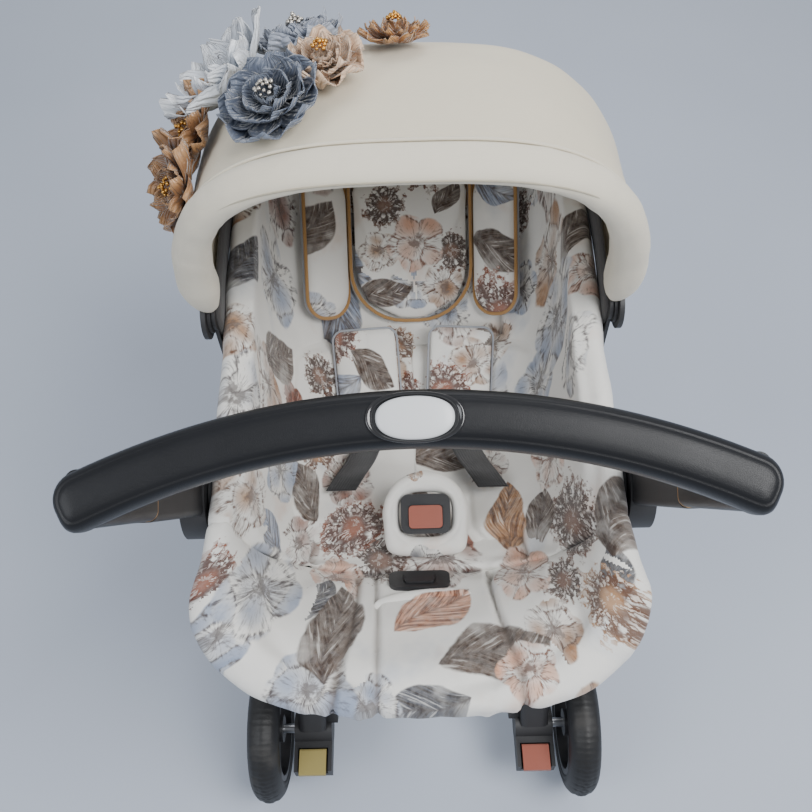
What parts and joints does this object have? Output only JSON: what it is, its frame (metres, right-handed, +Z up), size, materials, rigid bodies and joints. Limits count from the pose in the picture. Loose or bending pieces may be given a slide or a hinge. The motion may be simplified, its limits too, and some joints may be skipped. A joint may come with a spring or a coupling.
{
  "type": "infant car seat",
  "caption": "Infant car seat on a wheeled base that folds out, with a telescoping handle, a cream canopy, floral padding and a harness.",
  "frame": {"origin": "on the floor, under the middle of the whole seat and its wheels", "axes": "+X to the left side of a seated child, seen as the right side from the parent at the foot end, +Y towards the head end, +Z up"},
  "size_m": [0.441, 0.664, 0.8899],
  "materials": {
    "shell_plastic": "fine-grained black moulding",
    "guide_blue": "satin dark blue",
    "red_plastic": "satin brick red",
    "green_plastic": "satin olive and gold",
    "printed_fabric": "off-white cotton with a watercolour floral print",
    "webbing": "woven black polyester",
    "buckle_plastic": "polished black",
    "grey_plastic": "satin grey",
    "cream_fabric": "cream woven linen look",
    "flower_fabric": "satin and organza petals in brown, gold, white and slate",
    "leatherette": "semi-gloss fine grain",
    "steel": "brushed",
    "gold_trim": "satin gold",
    "gloss_black": "polished",
    "white_plastic": "satin off-white",
    "rim_plastic": "satin black",
    "tyre_rubber": "matte black with a fine tread"
  },
  "bodies": {
    "shell": {"seat_shell": "shell_plastic", "base_keel": "shell_plastic", "hub_bosses": "shell_plastic", "belt_guides": "guide_blue", "canopy_brackets": "shell_plastic", "release_housing": "shell_plastic", "foot_cover": "printed_fabric", "seat_liner": "printed_fabric", "body_insert": "printed_fabric", "headrest_pad": "printed_fabric", "headrest_wing_left": "printed_fabric", "headrest_wing_right": "printed_fabric", "shoulder_pad_left": "printed_fabric", "shoulder_pad_right": "printed_fabric", "shoulder_webbing": "webbing", "crotch_webbing": "webbing", "crotch_pad": "printed_fabric", "buckle_body": "buckle_plastic", "adjuster_plate": "buckle_plastic", "canopy_cloth": "cream_fabric", "canopy_flowers_front": "flower_fabric", "canopy_flowers_rear": "flower_fabric"},
    "release_lever": {"release_lever": "red_plastic"},
    "buckle_button": {"buckle_button": "red_plastic"},
    "adjuster_button": {"adjuster_button": "grey_plastic"},
    "canopy_mid": {"canopy_mid_bow": "shell_plastic"},
    "canopy_front": {"canopy_front_bow": "shell_plastic", "canopy_brim": "cream_fabric"},
    "handle_lower": {"handle_sleeve_left": "shell_plastic", "handle_sleeve_right": "shell_plastic"},
    "hub_button_left": {"hub_button_left": "grey_plastic"},
    "hub_button_right": {"hub_button_right": "grey_plastic"},
    "handle_mid": {"handle_mid_bars": "steel"},
    "handle_upper": {"handle_grip": "leatherette", "handle_arms": "leatherette", "handle_trim_rings": "gold_trim", "handle_bezel": "gloss_black"},
    "handle_button": {"handle_button": "white_plastic"},
    "rear_legs": {"rear_leg_frame": "shell_plastic"},
    "rear_telescope": {"rear_lower_legs": "shell_plastic", "rear_axle_left": "steel", "rear_axle_right": "steel"},
    "rear_wheel_left": {"rear_rim_left": "rim_plastic", "rear_tyre_left": "tyre_rubber"},
    "rear_wheel_right": {"rear_rim_right": "rim_plastic", "rear_tyre_right": "tyre_rubber"},
    "brake_pedal": {"brake_pedal": "red_plastic"},
    "release_pedal": {"release_pedal": "green_plastic"},
    "front_legs": {"front_leg_frame": "shell_plastic"},
    "front_telescope": {"front_lower_legs": "shell_plastic"},
    "fork_left": {"fork_left": "rim_plastic"},
    "fork_right": {"fork_right": "rim_plastic"},
    "front_wheel_left": {"front_rim_left": "rim_plastic", "front_tyre_left": "tyre_rubber"},
    "front_wheel_right": {"front_rim_right": "rim_plastic", "front_tyre_right": "tyre_rubber"}
  },
  "joints": [
    {"name": "handle_swing", "type": "hinge", "parent": "shell", "child": "handle_lower", "pos_m": [0, -0.125, 0.548], "axis": [1, 0, 0], "range_deg": [-30, 20]},
    {"name": "handle_extend", "type": "slide", "parent": "handle_lower", "child": "handle_upper", "axis": [0, -0.4617, 0.887], "range_m": [0, 0.17]},
    {"name": "handle_mid_slide", "type": "slide", "parent": "handle_lower", "child": "handle_mid", "axis": [0, -0.4617, 0.887], "range_m": [0, 0.0952]},
    {"name": "handle_button_press", "type": "slide", "parent": "handle_upper", "child": "handle_button", "axis": [0, 0.4617, -0.887], "range_m": [0, 0.003], "stiffness_N_per_m": 400},
    {"name": "hub_button_left_press", "type": "slide", "parent": "handle_lower", "child": "hub_button_left", "axis": [1, 0, 0], "range_m": [0, 0.004], "stiffness_N_per_m": 400},
    {"name": "hub_button_right_press", "type": "slide", "parent": "handle_lower", "child": "hub_button_right", "axis": [-1, 0, 0], "range_m": [0, 0.004], "stiffness_N_per_m": 400},
    {"name": "buckle_button_press", "type": "slide", "parent": "shell", "child": "buckle_button", "axis": [0, 0.454, -0.891], "range_m": [0, 0.003], "stiffness_N_per_m": 400},
    {"name": "adjuster_button_press", "type": "slide", "parent": "shell", "child": "adjuster_button", "axis": [0, -0.515, -0.8572], "range_m": [0, 0.0018], "stiffness_N_per_m": 400},
    {"name": "release_lever_pull", "type": "hinge", "parent": "shell", "child": "release_lever", "pos_m": [0, 0.22973, 0.55217], "axis": [1, 0, 0], "range_deg": [0, 25], "stiffness_Nm_per_rad": 0.6},
    {"name": "canopy_fold", "type": "hinge", "parent": "shell", "child": "canopy_front", "pos_m": [0, 0.028, 0.63], "axis": [1, 0, 0], "range_deg": [-60, 0], "deforming": ["canopy_cloth", "canopy_flowers_front", "canopy_flowers_rear"]},
    {"name": "canopy_mid_fold", "type": "hinge", "parent": "shell", "child": "canopy_mid", "pos_m": [0, 0.028, 0.63], "axis": [1, 0, 0], "range_deg": [-30, 0]},
    {"name": "rear_leg_fold", "type": "hinge", "parent": "shell", "child": "rear_legs", "pos_m": [0, -0.025, 0.358], "axis": [1, 0, 0], "range_deg": [-66, 0]},
    {"name": "rear_leg_slide", "type": "slide", "parent": "rear_legs", "child": "rear_telescope", "axis": [0, -0.615, -0.7886], "range_m": [-0.09, 0]},
    {"name": "front_leg_fold", "type": "hinge", "parent": "shell", "child": "front_legs", "pos_m": [0, 0.005, 0.358], "axis": [1, 0, 0], "range_deg": [0, 62]},
    {"name": "front_leg_slide", "type": "slide", "parent": "front_legs", "child": "front_telescope", "axis": [0, 0.8017, -0.5977], "range_m": [-0.09, 0]},
    {"name": "rear_wheel_left_spin", "type": "hinge", "parent": "rear_telescope", "child": "rear_wheel_left", "pos_m": [0, -0.234, 0.09], "axis": [1, 0, 0], "continuous": true},
    {"name": "rear_wheel_right_spin", "type": "hinge", "parent": "rear_telescope", "child": "rear_wheel_right", "pos_m": [0, -0.234, 0.09], "axis": [1, 0, 0], "continuous": true},
    {"name": "brake_pedal_press", "type": "hinge", "parent": "rear_telescope", "child": "brake_pedal", "pos_m": [0, -0.265, 0.092], "axis": [1, 0, 0], "range_deg": [0, 8]},
    {"name": "release_pedal_press", "type": "hinge", "parent": "rear_telescope", "child": "release_pedal", "pos_m": [0, -0.265, 0.092], "axis": [1, 0, 0], "range_deg": [-8, 0]},
    {"name": "fork_left_swivel", "type": "hinge", "parent": "front_telescope", "child": "fork_left", "pos_m": [-0.17, 0.225, 0.194], "axis": [0, 0, 1], "continuous": true},
    {"name": "fork_right_swivel", "type": "hinge", "parent": "front_telescope", "child": "fork_right", "pos_m": [0.17, 0.225, 0.194], "axis": [0, 0, 1], "continuous": true},
    {"name": "front_wheel_left_spin", "type": "hinge", "parent": "fork_left", "child": "front_wheel_left", "pos_m": [0, 0.255, 0.08], "axis": [1, 0, 0], "continuous": true},
    {"name": "front_wheel_right_spin", "type": "hinge", "parent": "fork_right", "child": "front_wheel_right", "pos_m": [0, 0.255, 0.08], "axis": [1, 0, 0], "continuous": true}
  ],
  "couplings": [
    {"joint": "handle_mid_slide", "follows": "handle_extend", "ratio": 0.56},
    {"joint": "canopy_mid_fold", "follows": "canopy_fold", "ratio": 0.5},
    {"joint": "front_leg_fold", "follows": "rear_leg_fold", "ratio": -0.93939},
    {"joint": "rear_leg_slide", "follows": "rear_leg_fold", "m_per_rad": 0.07813},
    {"joint": "front_leg_slide", "follows": "rear_leg_fold", "m_per_rad": 0.07813},
    {"joint": "release_pedal_press", "follows": "brake_pedal_press", "ratio": -1}
  ]
}
